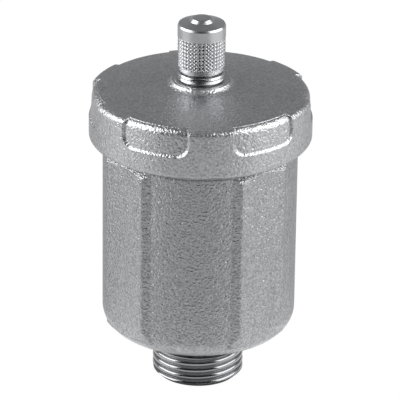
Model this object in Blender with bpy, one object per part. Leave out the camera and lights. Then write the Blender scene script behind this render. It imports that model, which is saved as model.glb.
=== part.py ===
"""Float-type air release valve with a threaded inlet and a knurled vent cap.

The valve stands upright: +Z is up, the origin is the centre of the threaded end's
lower face, and -Y is the front. Sizes are metres, written in millimetres times MM.
"""

import math

import bmesh
import bpy
from mathutils import Matrix, Vector

MM = 0.001

# Running gap that keeps two touching pieces apart
GAP = 0.3 * MM

# Threaded inlet of the body: ISO 228 size G 3/8
THREAD_R = 8.331 * MM
THREAD_LENGTH = 6.2 * MM
THREAD_CHAMFER = 0.9 * MM
RELIEF_DEPTH = 1.031 * MM
RELIEF_HEIGHT = 0.6 * MM
INLET_R = 5.0 * MM

# Body shell
WALL_R = 17.65 * MM
WALL = 2.05 * MM
SHOULDER_FOOT_STEP = 0.619 * MM
SHOULDER_SLOPE = math.radians(27.4)
SHOULDER_CORNER_R = 4.1 * MM
FLOOR_CORNER_R = 1.5 * MM
LEDGE_Z = 45.8 * MM
LEDGE_WIDTH = 0.55 * MM
NECK_HEIGHT = 5.5 * MM

# Four spanner flats forged on the body
FLAT_STAND_OFF = 0.1 * MM
FLAT_CORNER_INSET = 1.55 * MM
FLAT_COUNT = 4
FLAT_TURN = math.radians(40.0)
FLAT_PROUD = 0.85 * MM
FLAT_FOOT_Z = 12.2 * MM
FLAT_FADE = 3.2 * MM

# Cover that screws down over the body's neck
COVER_WALL = 2.75 * MM
COVER_LIP_INSET = 1.4 * MM
COVER_LIP_GAP = 0.5 * MM
COVER_RIM_HEIGHT = 0.85 * MM
COVER_TOP = 2.75 * MM
COVER_EDGE_R = 0.65 * MM
BOSS_FOOT = 2.0 * MM
COVER_CROWN_RISE = 1.25 * MM
BOSS_MARGIN = 0.35 * MM
BOSS_RISE = 0.85 * MM
COVER_ROOF = 1.8 * MM

# Six grip pads sunk in the cover's rim
PAD_COUNT = 6
PAD_TURN = math.radians(5.6)
PAD_HALF_ANGLE = math.radians(18.0)
PAD_HEIGHT = 4.65 * MM
PAD_DEPTH = 0.35 * MM
PAD_LEAN = 0.45 * MM
PAD_CORNER_R = 2.2 * MM

# Sealing ring between the rim and the cover
COVER_RING_WIRE_R = 0.6 * MM

# Discharge nozzle in the middle of the cover
NOZZLE_BORE_R = 0.9 * MM
NOZZLE_SHANK_R = 3.3 * MM
NOZZLE_TIP_R = 2.4 * MM
NOZZLE_SEAT_R = 1.5 * MM
NOZZLE_SEAT_DROP = 0.6 * MM
COLLAR_INSET = 0.08 * MM
COLLAR_HEIGHT = 1.25 * MM
COLLAR_GROOVE_DEPTH = 0.35 * MM
COLLAR_GROOVE_HEIGHT = 0.2 * MM
STUB_R = 2.9 * MM
STUB_LENGTH = 5.85 * MM
NOZZLE_RING_WIRE_R = 0.4 * MM
NOZZLE_RING_DROP = 1.45 * MM

# Knurled vent cap and the gasket under its roof
CAP_WALL = 1.13 * MM
KNURL_PROUD = 0.12 * MM
CAP_HEIGHT = 8.7 * MM
CAP_FOOT_CHAMFER = 0.35 * MM
CAP_TOP_CHAMFER = 0.25 * MM
CAP_LOWER_BAND = 1.0 * MM
CAP_UPPER_BAND = 2.2 * MM
CAP_NUB_R = 1.95 * MM
CAP_NUB_HEIGHT = 1.2 * MM
CAP_NUB_EDGE = 0.25 * MM
GASKET_THICKNESS = 0.6 * MM

# Float and its travel
FLOAT_SIDE_GAP = 2.2 * MM
FLOAT_WALL = 0.9 * MM
FLOAT_FLAT_R = 8.0 * MM
FLOAT_TOP_DROP = 4.0 * MM
FLOAT_LID = 1.0 * MM
FLOAT_SPIGOT = 1.2 * MM
FLOAT_TRAVEL = 3.0 * MM
LUG_HALF_WIDTH = 1.6 * MM
LUG_HALF_THICK = 1.0 * MM

# Lever: pivot at one end, stem in the middle, float hook at the other end
LEVER_ARM = 9.0 * MM
PIVOT_DROP = 5.6 * MM
LEVER_HALF_HEIGHT = 1.6 * MM
LEVER_SHEET = 0.8 * MM
LEVER_INNER = 1.5 * MM
LEVER_WEB_START = 1.8 * MM
LEVER_WEB_LENGTH = 3.2 * MM
PIN_R = 0.5 * MM
PIN_CLEARANCE = 0.25 * MM
SLOT_CLEARANCE = 0.35 * MM
PIN_HEAD_R = 0.95 * MM
CLIP_R = 1.3 * MM
CLIP_THICKNESS = 0.4 * MM
CLIP_MOUTH = math.radians(70.0)
PIN_END = 0.35 * MM

# Bracket that carries the lever under the cover
BRACKET_SHEET = 0.8 * MM
BRACKET_INNER = 2.7 * MM
BRACKET_BASE = 0.9 * MM
BRACKET_BASE_HALF_WIDTH = 4.0 * MM
BRACKET_BACK_MARGIN = 1.8 * MM
BRACKET_FRONT_X = 4.2 * MM
BRACKET_LEG_HALF_WIDTH = 2.4 * MM
BRIDGE_DROP = 13.4 * MM
SCREW_Y = 6.3 * MM
SCREW_TAB_HALF_WIDTH = 2.6 * MM
SCREW_TAB_END = 8.6 * MM
SCREW_R = 0.9 * MM
SCREW_HEAD_R = 1.7 * MM
SCREW_HEAD_HEIGHT = 0.9 * MM
SCREW_LENGTH = 3.3 * MM

# Obturator stem, its rubber seal and its spring
STEM_R = 1.0 * MM
STEM_BLOCK_HALF = 1.15 * MM
STEM_BLOCK_HALF_HEIGHT = 1.4 * MM
STEM_TAIL = 1.2 * MM
STEM_TIP = 2.75 * MM
STEM_COLLAR_R = 1.9 * MM
STEM_COLLAR_TOP = 1.95 * MM
STEM_COLLAR_HEIGHT = 0.6 * MM
SEAL_R = 1.9 * MM
SEAL_BOTTOM = 1.95 * MM
SEAL_SEAT_GAP = 0.2 * MM
SPRING_R = 1.6 * MM
SPRING_WIRE_R = 0.2 * MM
SPRING_TURNS = 3.5
WASHER_THICKNESS = 0.4 * MM

# Facets round a turned piece, and steps in one rounded edge
ROUND = 56
COVER_ROUND = 72
NOZZLE_ROUND = 36
SMALL_ROUND = 20
ARC_STEPS = 5

# Radii and heights that follow from the sizes above
RELIEF_R = THREAD_R - RELIEF_DEPTH
SHOULDER_FOOT_R = THREAD_R + SHOULDER_FOOT_STEP
SHOULDER_FOOT_Z = THREAD_LENGTH + RELIEF_HEIGHT
CAVITY_R = WALL_R - WALL
NECK_R = WALL_R - LEDGE_WIDTH
RIM_Z = LEDGE_Z + NECK_HEIGHT
FLAT_HALF_AF = WALL_R + FLAT_STAND_OFF
FLAT_CORNER_HALF_AF = WALL_R - FLAT_CORNER_INSET
COVER_R = NECK_R + GAP + COVER_WALL
COVER_LIP_R = COVER_R - COVER_LIP_INSET
COVER_LIP_Z = LEDGE_Z + COVER_LIP_GAP
ROOF_Z = RIM_Z + COVER_ROOF
COVER_EDGE_Z = ROOF_Z + COVER_TOP
PAD_FLOOR_R = COVER_R - PAD_DEPTH
PAD_FLOOR_TOP_R = PAD_FLOOR_R - PAD_LEAN
PAD_FOOT_Z = COVER_EDGE_Z - PAD_HEIGHT
CAP_R = STUB_R + GAP + CAP_WALL
COLLAR_R = CAP_R - COLLAR_INSET
BOSS_R = COLLAR_R + BOSS_MARGIN
COVER_CROWN_R = BOSS_R + BOSS_FOOT
CROWN_Z = COVER_EDGE_Z + COVER_CROWN_RISE
BOSS_Z = CROWN_Z + BOSS_RISE
COLLAR_Z = BOSS_Z + GAP
CAP_Z = COLLAR_Z + COLLAR_HEIGHT + GAP
CAP_TOP_Z = CAP_Z + CAP_HEIGHT
STUB_TOP_Z = COLLAR_Z + COLLAR_HEIGHT + STUB_LENGTH
SEAT_Z = ROOF_Z - NOZZLE_SEAT_DROP
FLOAT_R = CAVITY_R - FLOAT_SIDE_GAP
PIVOT_Z = ROOF_Z - PIVOT_DROP
BRIDGE_Z = ROOF_Z - BRIDGE_DROP
FLOAT_TOP_Z = BRIDGE_Z - FLOAT_TOP_DROP
LEVER_TILT = math.asin(FLOAT_TRAVEL / (4 * LEVER_ARM))
PIVOT_X = -LEVER_ARM
BRACKET_BACK_X = PIVOT_X - BRACKET_BACK_MARGIN
STEM_PIN_Z = PIVOT_Z - LEVER_ARM * math.sin(LEVER_TILT)
HOOK_PIN_Z = PIVOT_Z - 2 * LEVER_ARM * math.sin(LEVER_TILT)
STEM_TRAVEL = FLOAT_TRAVEL / 2
BRACKET_TOP_Z = ROOF_Z - GAP
BRACKET_BASE_Z = BRACKET_TOP_Z - BRACKET_BASE
STEM_COLLAR_Z = STEM_PIN_Z - STEM_COLLAR_TOP - STEM_COLLAR_HEIGHT
WASHER_Z = STEM_COLLAR_Z - GAP - WASHER_THICKNESS


def clear_scene():
    for thing in list(bpy.data.objects):
        bpy.data.objects.remove(thing, do_unlink=True)


def finish(obj, color, roughness, metallic):
    """Give one piece its own Principled material."""
    material = bpy.data.materials.new(obj.name + "_finish")
    material.use_nodes = True
    shader = material.node_tree.nodes["Principled BSDF"]
    shader.inputs["Base Color"].default_value = (*color, 1.0)
    shader.inputs["Roughness"].default_value = roughness
    shader.inputs["Metallic"].default_value = metallic
    obj.data.materials.append(material)


def blasted_nickel(obj):
    finish(obj, (0.42, 0.42, 0.43), 0.42, 1.0)


def polished_nickel(obj):
    finish(obj, (0.62, 0.62, 0.62), 0.16, 1.0)


def stainless(obj):
    finish(obj, (0.56, 0.56, 0.55), 0.3, 1.0)


def brass(obj):
    finish(obj, (0.72, 0.55, 0.28), 0.3, 1.0)


def black_rubber(obj):
    finish(obj, (0.02, 0.02, 0.02), 0.75, 0.0)


def white_plastic(obj):
    finish(obj, (0.78, 0.77, 0.72), 0.45, 0.0)


def joint_empty(name, location, tilt=0.0):
    """A guide on a joint's axis that carries the pieces that move there."""
    empty = bpy.data.objects.new(name, None)
    empty.location = location
    empty.rotation_euler = (0.0, tilt, 0.0)
    empty.hide_render = True
    bpy.context.scene.collection.objects.link(empty)
    return empty


def object_from(name, mesh_build, parent=None, origin=(0.0, 0.0, 0.0)):
    """Make an object of a bmesh drawn about the scene's centre, with its origin at a given point."""
    bmesh.ops.recalc_face_normals(mesh_build, faces=mesh_build.faces)
    bmesh.ops.translate(mesh_build, verts=mesh_build.verts, vec=-Vector(origin))
    mesh = bpy.data.meshes.new(name)
    mesh_build.to_mesh(mesh)
    mesh_build.free()
    mesh.shade_smooth()
    mesh.set_sharp_from_angle(angle=math.radians(28.0))
    obj = bpy.data.objects.new(name, mesh)
    bpy.context.scene.collection.objects.link(obj)
    obj.parent = parent
    offset = Vector(parent.location) if parent else Vector((0.0, 0.0, 0.0))
    obj.location = Vector(origin) - offset
    return obj


def cutter_from(name, mesh_build):
    obj = object_from(name, mesh_build)
    obj.hide_render = True
    obj.display_type = "WIRE"
    return obj


def boolean(obj, other, operation):
    """Cut a helper from a piece, or join it on."""
    other.parent = obj.parent
    other.location = other.location - (obj.parent.location if obj.parent else Vector((0.0, 0.0, 0.0)))
    modifier = obj.modifiers.new(operation.title() + "_" + other.name, "BOOLEAN")
    modifier.operation = operation
    modifier.solver = "EXACT"
    modifier.object = other


def join_rows(build, lower, upper):
    """Faces between two rings of points, or between a ring and a pole."""
    count = max(len(lower), len(upper))
    for i in range(count):
        j = (i + 1) % count
        corners = [lower[i % len(lower)], lower[j % len(lower)], upper[j % len(upper)], upper[i % len(upper)]]
        unique = []
        for corner in corners:
            if corner not in unique:
                unique.append(corner)
        build.faces.new(unique)


def rings_solid(rings):
    """A closed solid through a list of rings: a ring of one point is a pole, and without poles it is a tube."""
    build = bmesh.new()
    rows = []
    for ring in rings:
        rows.append([build.verts.new(point) for point in ring])
    pairs = list(zip(rows, rows[1:]))
    if len(rows[0]) > 1:
        pairs.append((rows[-1], rows[0]))
    for lower, upper in pairs:
        join_rows(build, lower, upper)
    return build


def ring_of(radius, height, angles):
    if radius == 0.0:
        return [(0.0, 0.0, height)]
    return [(radius * math.cos(a), radius * math.sin(a), height) for a in angles]


def turned(profile, segments=ROUND, center=(0.0, 0.0)):
    """A solid of revolution about a vertical axis, from (radius, height) points."""
    angles = [math.tau * i / segments for i in range(segments)]
    build = rings_solid([ring_of(radius, height, angles) for radius, height in profile])
    bmesh.ops.translate(build, verts=build.verts, vec=(*center, 0.0))
    return build


def arc(center_r, center_z, radius, start, end, steps=ARC_STEPS):
    """Points of an arc in a profile; the angles are degrees from the outward direction."""
    points = []
    for i in range(steps + 1):
        angle = math.radians(start + (end - start) * i / steps)
        points.append((center_r + radius * math.cos(angle), center_z + radius * math.sin(angle)))
    return points


def extruded(outline, start, end, axis):
    """A prism of an outline of (across, up) points, drawn in XZ and run along Y, or in XY and run along Z."""
    build = bmesh.new()
    faces = []
    for depth in (start, end):
        points = [(u, depth, v) if axis == "Y" else (u, v, depth) for u, v in outline]
        faces.append([build.verts.new(point) for point in points])
    build.faces.new(faces[0])
    build.faces.new(list(reversed(faces[1])))
    for i in range(len(outline)):
        j = (i + 1) % len(outline)
        build.faces.new([faces[0][i], faces[1][i], faces[1][j], faces[0][j]])
    return build


def box(low, high):
    outline = [(low[0], low[1]), (high[0], low[1]), (high[0], high[1]), (low[0], high[1])]
    return extruded(outline, low[2], high[2], "Z")


def headed_pin(x, z, grip):
    """A pin along Y: a flat head in front of the parts that it joins, and its plain end behind them."""
    head_y = -grip - GAP
    end_y = grip + GAP + CLIP_THICKNESS + PIN_END
    points = [(0.0, head_y - CLIP_THICKNESS), (PIN_HEAD_R, head_y - CLIP_THICKNESS), (PIN_HEAD_R, head_y)]
    points += [(PIN_R, head_y), (PIN_R, end_y), (0.0, end_y)]
    build = turned(points, SMALL_ROUND)
    toward_y = Matrix.Rotation(math.radians(-90.0), 3, "X")
    bmesh.ops.rotate(build, verts=build.verts, cent=(0.0, 0.0, 0.0), matrix=toward_y)
    bmesh.ops.translate(build, verts=build.verts, vec=(x, 0.0, z))
    return build


def retaining_clip(x, z, grip, steps=12):
    """An open ring that is pushed over a pin's plain end, with its mouth downwards."""
    start = CLIP_MOUTH / 2 - math.pi / 2
    sweep = math.tau - CLIP_MOUTH
    turns = [start + sweep * i / steps for i in range(steps + 1)]
    outline = [(x + CLIP_R * math.cos(a), z + CLIP_R * math.sin(a)) for a in turns]
    inner = PIN_R + GAP
    outline += [(x + inner * math.cos(a), z + inner * math.sin(a)) for a in reversed(turns)]
    return extruded(outline, grip + GAP, grip + GAP + CLIP_THICKNESS, "Y")


def rod_y(x, z, radius, half_length, segments=SMALL_ROUND):
    """A round rod along Y, used for a pin and for the hole of a pin."""
    outline = []
    for i in range(segments):
        angle = math.tau * i / segments
        outline.append((x + radius * math.cos(angle), z + radius * math.sin(angle)))
    return extruded(outline, -half_length, half_length, "Y")


def stadium(x0, x1, z, radius, steps=8):
    """Outline of a bar with round ends, in XZ."""
    points = []
    for x, start in ((x1, -90.0), (x0, 90.0)):
        for i in range(steps + 1):
            angle = math.radians(start + 180.0 * i / steps)
            points.append((x + radius * math.cos(angle), z + radius * math.sin(angle)))
    return points


def shoulder(foot_r, foot_z, wall_r, corner_r):
    """Cone rising outwards from its foot, and the rounded corner that turns it into the wall."""
    tangent_r = wall_r - corner_r + corner_r * math.sin(SHOULDER_SLOPE)
    tangent_z = foot_z + (tangent_r - foot_r) * math.tan(SHOULDER_SLOPE)
    center_z = tangent_z + corner_r * math.cos(SHOULDER_SLOPE)
    start = math.degrees(SHOULDER_SLOPE) - 90.0
    return [(foot_r, foot_z)] + arc(wall_r - corner_r, center_z, corner_r, start, 0.0)


def flat_radius(turn):
    """Distance from the axis to the eight-sided outline of the spanner flats, along one direction."""
    quarter = math.tau / FLAT_COUNT
    offset = (turn - FLAT_TURN + quarter / 2) % quarter - quarter / 2
    to_flat = FLAT_HALF_AF / math.cos(offset)
    to_corner = FLAT_CORNER_HALF_AF / math.cos(quarter / 2 - abs(offset))
    return min(to_flat, to_corner)


def body_angles():
    """Directions of the body's points, with one on each edge of each spanner flat."""
    quarter = math.tau / FLAT_COUNT
    half_width = FLAT_CORNER_HALF_AF * math.sqrt(2) - FLAT_HALF_AF
    edge = math.atan2(half_width, FLAT_HALF_AF)
    foot = quarter / 2 - math.acos(FLAT_CORNER_HALF_AF / WALL_R)
    offsets = [-foot, -edge, -edge / 2, 0.0, edge / 2, edge, foot]
    wall_steps = 8
    for i in range(1, wall_steps):
        offsets.append(foot + (quarter - 2 * foot) * i / wall_steps)
    return [FLAT_TURN + k * quarter + offset for k in range(FLAT_COUNT) for offset in offsets]


def body_wall_ring(radius, height, angles):
    """One level of the body's outer face, where the spanner flats fade in above the shoulder."""
    rise = min(max((height - FLAT_FOOT_Z) / FLAT_FADE, 0.0), 1.0)
    limit = radius + FLAT_PROUD * rise * rise * (3 - 2 * rise)
    points = []
    for a in angles:
        r = max(radius, min(flat_radius(a), limit))
        points.append((r * math.cos(a), r * math.sin(a), height))
    return points


def floor_foot_z():
    """Height of the inner floor at the inlet, one wall above the outer shoulder."""
    drop = (SHOULDER_FOOT_R - INLET_R) * math.tan(SHOULDER_SLOPE)
    return SHOULDER_FOOT_Z - drop + WALL / math.cos(SHOULDER_SLOPE)


def make_body():
    """Forged cup with a threaded inlet below, four spanner flats and a neck for the cover."""
    angles = body_angles()
    outside = shoulder(SHOULDER_FOOT_R, SHOULDER_FOOT_Z, WALL_R, SHOULDER_CORNER_R)
    corner_z = outside[-1][1]
    for part in (0.35, 0.7, 1.0):
        outside.append((WALL_R, corner_z + part * (FLAT_FOOT_Z + FLAT_FADE - corner_z + 0.4 * MM)))
    outside.append((WALL_R, LEDGE_Z))
    inside = shoulder(INLET_R, floor_foot_z(), CAVITY_R, FLOOR_CORNER_R)
    rings = [ring_of(INLET_R, 0.0, angles)]
    rings.append(ring_of(THREAD_R - THREAD_CHAMFER, 0.0, angles))
    rings.append(ring_of(THREAD_R, THREAD_CHAMFER, angles))
    rings.append(ring_of(THREAD_R, THREAD_LENGTH, angles))
    rings.append(ring_of(RELIEF_R, THREAD_LENGTH + 0.25 * RELIEF_HEIGHT, angles))
    rings.append(ring_of(RELIEF_R, SHOULDER_FOOT_Z, angles))
    for radius, height in outside:
        rings.append(body_wall_ring(radius, height, angles))
    rings.append(ring_of(NECK_R, LEDGE_Z, angles))
    rings.append(ring_of(NECK_R, RIM_Z, angles))
    rings.append(ring_of(CAVITY_R, RIM_Z, angles))
    for radius, height in reversed(inside):
        rings.append(ring_of(radius, height, angles))
    body = object_from("body", rings_solid(rings))
    blasted_nickel(body)


def cover_profile():
    """Outline of the cover: lip, underside, rim, shallow crown, boss, bore, roof and inner wall."""
    neck_bore = NECK_R + GAP
    rim_z = COVER_LIP_Z + COVER_RIM_HEIGHT
    edge_r = COVER_EDGE_R
    points = [(neck_bore, COVER_LIP_Z), (COVER_LIP_R, COVER_LIP_Z)]
    points += [(COVER_R - 0.3 * MM, rim_z - 0.1 * MM), (COVER_R, rim_z + 0.5 * MM)]
    points += arc(COVER_R - edge_r, COVER_EDGE_Z - edge_r, edge_r, 0.0, 84.0)
    points.append(((COVER_R + COVER_CROWN_R) / 2, COVER_EDGE_Z + 0.62 * COVER_CROWN_RISE))
    points.append((COVER_CROWN_R, CROWN_Z))
    points.append(((COVER_CROWN_R + BOSS_R) / 2 - 0.1 * MM, CROWN_Z + 0.3 * BOSS_RISE))
    points.append((BOSS_R, CROWN_Z + 0.75 * BOSS_RISE))
    points.append((BOSS_R - 0.15 * MM, BOSS_Z))
    points += [(NOZZLE_SHANK_R + GAP, BOSS_Z), (NOZZLE_SHANK_R + GAP, ROOF_Z), (neck_bore, ROOF_Z)]
    return points


def pad_outline(half_width, foot_z, corner_r, steps=5):
    """(along the rim, height) points from one side of a pad round its lower edge to the other side."""
    points = []
    for sign in (-1, 1):
        for i in range(steps + 1):
            angle = math.radians(90.0 * i / steps)
            if sign > 0:
                angle = math.radians(90.0) - angle
            along = half_width - corner_r + corner_r * math.cos(angle)
            points.append((sign * along, foot_z + corner_r - corner_r * math.sin(angle)))
    return points


def pad_cutter():
    """Six shallow pockets, open at the top, whose floors follow the rim and whose sides slope."""
    build = bmesh.new()
    reach = COVER_R + 1.0 * MM
    half_width = PAD_FLOOR_R * PAD_HALF_ANGLE
    flare = reach - PAD_FLOOR_R
    inner = pad_outline(half_width, PAD_FOOT_Z, PAD_CORNER_R)
    outer = pad_outline(half_width + flare, PAD_FOOT_Z - flare, PAD_CORNER_R + flare)
    top_z = COVER_EDGE_Z + 1.0 * MM
    lean = (PAD_FLOOR_R - PAD_FLOOR_TOP_R) / (COVER_EDGE_Z - PAD_FOOT_Z)

    def point(along, radius, height):
        turn = PAD_TURN + k * math.tau / PAD_COUNT + along / PAD_FLOOR_R
        return build.verts.new((radius * math.cos(turn), radius * math.sin(turn), height))

    for k in range(PAD_COUNT):
        columns = []
        for (u0, z0), (u1, z1) in zip(inner, outer):
            floor_low = point(u0, PAD_FLOOR_R - lean * (z0 - PAD_FOOT_Z), z0)
            floor_high = point(u0, PAD_FLOOR_R - lean * (top_z - PAD_FOOT_Z), top_z)
            columns.append([floor_low, floor_high, point(u1, reach, top_z), point(u1, reach, z1)])
        for left, right in zip(columns, columns[1:]):
            for i in range(4):
                j = (i + 1) % 4
                build.faces.new([left[i], left[j], right[j], right[i]])
        build.faces.new(columns[0])
        build.faces.new(list(reversed(columns[-1])))
    return cutter_from("pad_cutter", build)


def make_cover():
    """Forged cover with a shallow crown, six grip pads and two blind holes for the bracket's screws."""
    cover = object_from("cover", turned(cover_profile(), COVER_ROUND))
    boolean(cover, pad_cutter(), "DIFFERENCE")
    for side, label in ((-1, "left"), (1, "right")):
        low = ROOF_Z - 1.0 * MM
        high = BRACKET_BASE_Z + SCREW_LENGTH + GAP
        radius = SCREW_R + GAP
        hole = turned([(0.0, low), (radius, low), (radius, high), (0.0, high)], SMALL_ROUND, (0.0, side * SCREW_Y))
        boolean(cover, cutter_from("screw_hole_" + label, hole), "DIFFERENCE")
    blasted_nickel(cover)


def round_ring(mean_r, wire_r, height, segments):
    return turned(arc(mean_r, height, wire_r, 0.0, 315.0, 7), segments)


def make_cover_ring():
    """Sealing ring on the body's rim, pressed by the cover's roof."""
    mean_r = (CAVITY_R + NECK_R) / 2
    height = RIM_Z + GAP + COVER_RING_WIRE_R
    ring = object_from("cover_o_ring", round_ring(mean_r, COVER_RING_WIRE_R, height, ROUND))
    black_rubber(ring)


def make_nozzle():
    """Turned nozzle: seat below, shank through the cover, grooved collar and stub for the cap."""
    shank_z = ROOF_Z + 0.6 * MM
    ring_z = COLLAR_Z - NOZZLE_RING_DROP
    half = NOZZLE_RING_WIRE_R + 0.15 * MM
    groove_r = NOZZLE_SHANK_R - 2 * NOZZLE_RING_WIRE_R - 0.1 * MM
    collar_top = COLLAR_Z + COLLAR_HEIGHT
    groove_z = COLLAR_Z + 0.7 * COLLAR_HEIGHT
    groove_top = groove_z + COLLAR_GROOVE_HEIGHT
    bevel = 0.12 * MM
    points = [(NOZZLE_BORE_R, SEAT_Z), (NOZZLE_SEAT_R, SEAT_Z), (NOZZLE_TIP_R, SEAT_Z + 0.4 * MM)]
    points += [(NOZZLE_TIP_R, shank_z - 0.3 * MM), (NOZZLE_SHANK_R, shank_z)]
    points += [(NOZZLE_SHANK_R, ring_z - half), (groove_r, ring_z - half)]
    points += [(groove_r, ring_z + half), (NOZZLE_SHANK_R, ring_z + half), (NOZZLE_SHANK_R, COLLAR_Z)]
    points += [(COLLAR_R - bevel, COLLAR_Z), (COLLAR_R, COLLAR_Z + bevel), (COLLAR_R, groove_z)]
    points += [(COLLAR_R - COLLAR_GROOVE_DEPTH, groove_z), (COLLAR_R - COLLAR_GROOVE_DEPTH, groove_top)]
    points += [(COLLAR_R, groove_top), (COLLAR_R, collar_top - bevel), (COLLAR_R - bevel, collar_top)]
    points += [(STUB_R, collar_top), (STUB_R, STUB_TOP_Z - GAP), (STUB_R - GAP, STUB_TOP_Z)]
    points.append((NOZZLE_BORE_R, STUB_TOP_Z))
    nozzle = object_from("discharge_nozzle", turned(points, NOZZLE_ROUND))
    polished_nickel(nozzle)
    mean_r = groove_r + 0.2 * MM + NOZZLE_RING_WIRE_R
    ring = object_from("nozzle_o_ring", round_ring(mean_r, NOZZLE_RING_WIRE_R, ring_z, NOZZLE_ROUND))
    black_rubber(ring)


def make_vent_cap():
    """Knurled cap screwed on the stub, and the gasket under its roof that rises with it."""
    lift = joint_empty("vent_cap_thread", (0.0, 0.0, CAP_Z))
    bore_r = STUB_R + GAP
    inner_roof = STUB_TOP_Z + GAP + GASKET_THICKNESS + GAP
    knurl_r = CAP_R + KNURL_PROUD
    knurl_low = CAP_Z + CAP_LOWER_BAND
    knurl_high = CAP_TOP_Z - CAP_UPPER_BAND
    nub_top = CAP_TOP_Z + CAP_NUB_HEIGHT
    points = [(0.0, inner_roof), (bore_r, inner_roof), (bore_r, CAP_Z), (CAP_R - CAP_FOOT_CHAMFER, CAP_Z)]
    points += [(CAP_R - 0.05 * MM, CAP_Z + CAP_FOOT_CHAMFER), (CAP_R, knurl_low)]
    points += [(knurl_r, knurl_low + KNURL_PROUD), (knurl_r, knurl_high), (CAP_R, knurl_high + KNURL_PROUD)]
    points += [(CAP_R, CAP_TOP_Z - CAP_TOP_CHAMFER), (CAP_R - CAP_TOP_CHAMFER, CAP_TOP_Z)]
    points += [(CAP_NUB_R, CAP_TOP_Z)]
    points += arc(CAP_NUB_R - CAP_NUB_EDGE, nub_top - CAP_NUB_EDGE, CAP_NUB_EDGE, 0.0, 90.0, 3)
    points.append((0.0, nub_top))
    cap = object_from("vent_cap", turned(points, NOZZLE_ROUND), lift, (0.0, 0.0, CAP_Z))
    polished_nickel(cap)
    low = STUB_TOP_Z + GAP
    high = low + GASKET_THICKNESS
    disc = turned([(0.0, low), (STUB_R, low), (STUB_R, high), (0.0, high)], NOZZLE_ROUND)
    gasket = object_from("vent_cap_gasket", disc, lift, (0.0, 0.0, CAP_Z))
    black_rubber(gasket)


def make_float():
    """Moulded float in two halves: a cup that sits just over the floor, and a lid with the hook lug."""
    guide = joint_empty("float_travel", (0.0, 0.0, FLOAT_TOP_Z))
    slope = math.tan(SHOULDER_SLOPE)
    flat_z = floor_foot_z() + (FLOAT_FLAT_R - INLET_R) * slope + GAP / math.cos(SHOULDER_SLOPE)
    knee_z = flat_z + (FLOAT_R - FLOAT_FLAT_R) * slope
    seam_z = FLOAT_TOP_Z - FLOAT_LID - GAP
    inner_r = FLOAT_R - FLOAT_WALL
    points = [(0.0, flat_z), (FLOAT_FLAT_R, flat_z), (FLOAT_R, knee_z), (FLOAT_R, seam_z), (inner_r, seam_z)]
    points += [(inner_r, knee_z + 0.5 * FLOAT_WALL), (FLOAT_FLAT_R - 0.2 * MM, flat_z + FLOAT_WALL)]
    points.append((0.0, flat_z + FLOAT_WALL))
    shell = object_from("float_shell", turned(points), guide, (0.0, 0.0, FLOAT_TOP_Z))
    white_plastic(shell)

    spigot_r = inner_r - GAP
    lid_z = FLOAT_TOP_Z - FLOAT_LID
    points = [(0.0, lid_z), (spigot_r - FLOAT_WALL, lid_z), (spigot_r - FLOAT_WALL, lid_z - FLOAT_SPIGOT)]
    points += [(spigot_r, lid_z - FLOAT_SPIGOT), (spigot_r, lid_z), (FLOAT_R, lid_z)]
    points += [(FLOAT_R, FLOAT_TOP_Z - GAP), (FLOAT_R - GAP, FLOAT_TOP_Z), (0.0, FLOAT_TOP_Z)]
    lid = object_from("float_lid", turned(points), guide, (0.0, 0.0, FLOAT_TOP_Z))
    lug_x = LEVER_ARM
    outline = [(lug_x - LUG_HALF_WIDTH, FLOAT_TOP_Z - 0.5 * FLOAT_LID)]
    outline.append((lug_x + LUG_HALF_WIDTH, FLOAT_TOP_Z - 0.5 * FLOAT_LID))
    for i in range(9):
        angle = math.radians(180.0 * i / 8)
        outline.append((lug_x + LUG_HALF_WIDTH * math.cos(angle), HOOK_PIN_Z + LUG_HALF_WIDTH * math.sin(angle)))
    lug = cutter_from("lug_form", extruded(outline, -LUG_HALF_THICK, LUG_HALF_THICK, "Y"))
    boolean(lid, lug, "UNION")
    hole = rod_y(lug_x, HOOK_PIN_Z, PIN_R + PIN_CLEARANCE, 2 * LUG_HALF_THICK)
    boolean(lid, cutter_from("lug_hole", hole), "DIFFERENCE")
    white_plastic(lid)

    grip = LEVER_INNER + LEVER_SHEET
    pin = object_from("hook_pin", headed_pin(lug_x, HOOK_PIN_Z, grip), guide, (0.0, 0.0, FLOAT_TOP_Z))
    clip = object_from("hook_pin_clip", retaining_clip(lug_x, HOOK_PIN_Z, grip), guide, (0.0, 0.0, FLOAT_TOP_Z))
    stainless(pin)
    stainless(clip)


def make_lever():
    """Pressed lever: two side bars joined by a web near the pivot, drawn level and tilted by its guide."""
    pivot = joint_empty("lever_pivot", (PIVOT_X, 0.0, PIVOT_Z), LEVER_TILT)
    outer_y = LEVER_INNER + LEVER_SHEET
    outline = stadium(0.0, 2 * LEVER_ARM, 0.0, LEVER_HALF_HEIGHT)
    lever = object_from("float_lever", extruded(outline, LEVER_INNER, outer_y, "Y"))
    other = cutter_from("lever_far_bar", extruded(outline, -outer_y, -LEVER_INNER, "Y"))
    web_low = (LEVER_WEB_START, -outer_y + 0.5 * LEVER_SHEET, LEVER_HALF_HEIGHT - LEVER_SHEET)
    web_high = (LEVER_WEB_START + LEVER_WEB_LENGTH, outer_y - 0.5 * LEVER_SHEET, LEVER_HALF_HEIGHT - 0.05 * MM)
    web = cutter_from("lever_web", box(web_low, web_high))
    parts = [(web, "UNION"), (other, "UNION")]
    for x, clearance, label in (
        (0.0, PIN_CLEARANCE, "pivot"),
        (LEVER_ARM, SLOT_CLEARANCE, "stem"),
        (2 * LEVER_ARM, SLOT_CLEARANCE, "hook"),
    ):
        hole = rod_y(x, 0.0, PIN_R + clearance, 2 * outer_y)
        parts.append((cutter_from("lever_hole_" + label, hole), "DIFFERENCE"))
    for part, operation in parts:
        boolean(lever, part, operation)
    for part in [lever] + [helper for helper, _ in parts]:
        part.parent = pivot
    stainless(lever)


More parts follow.
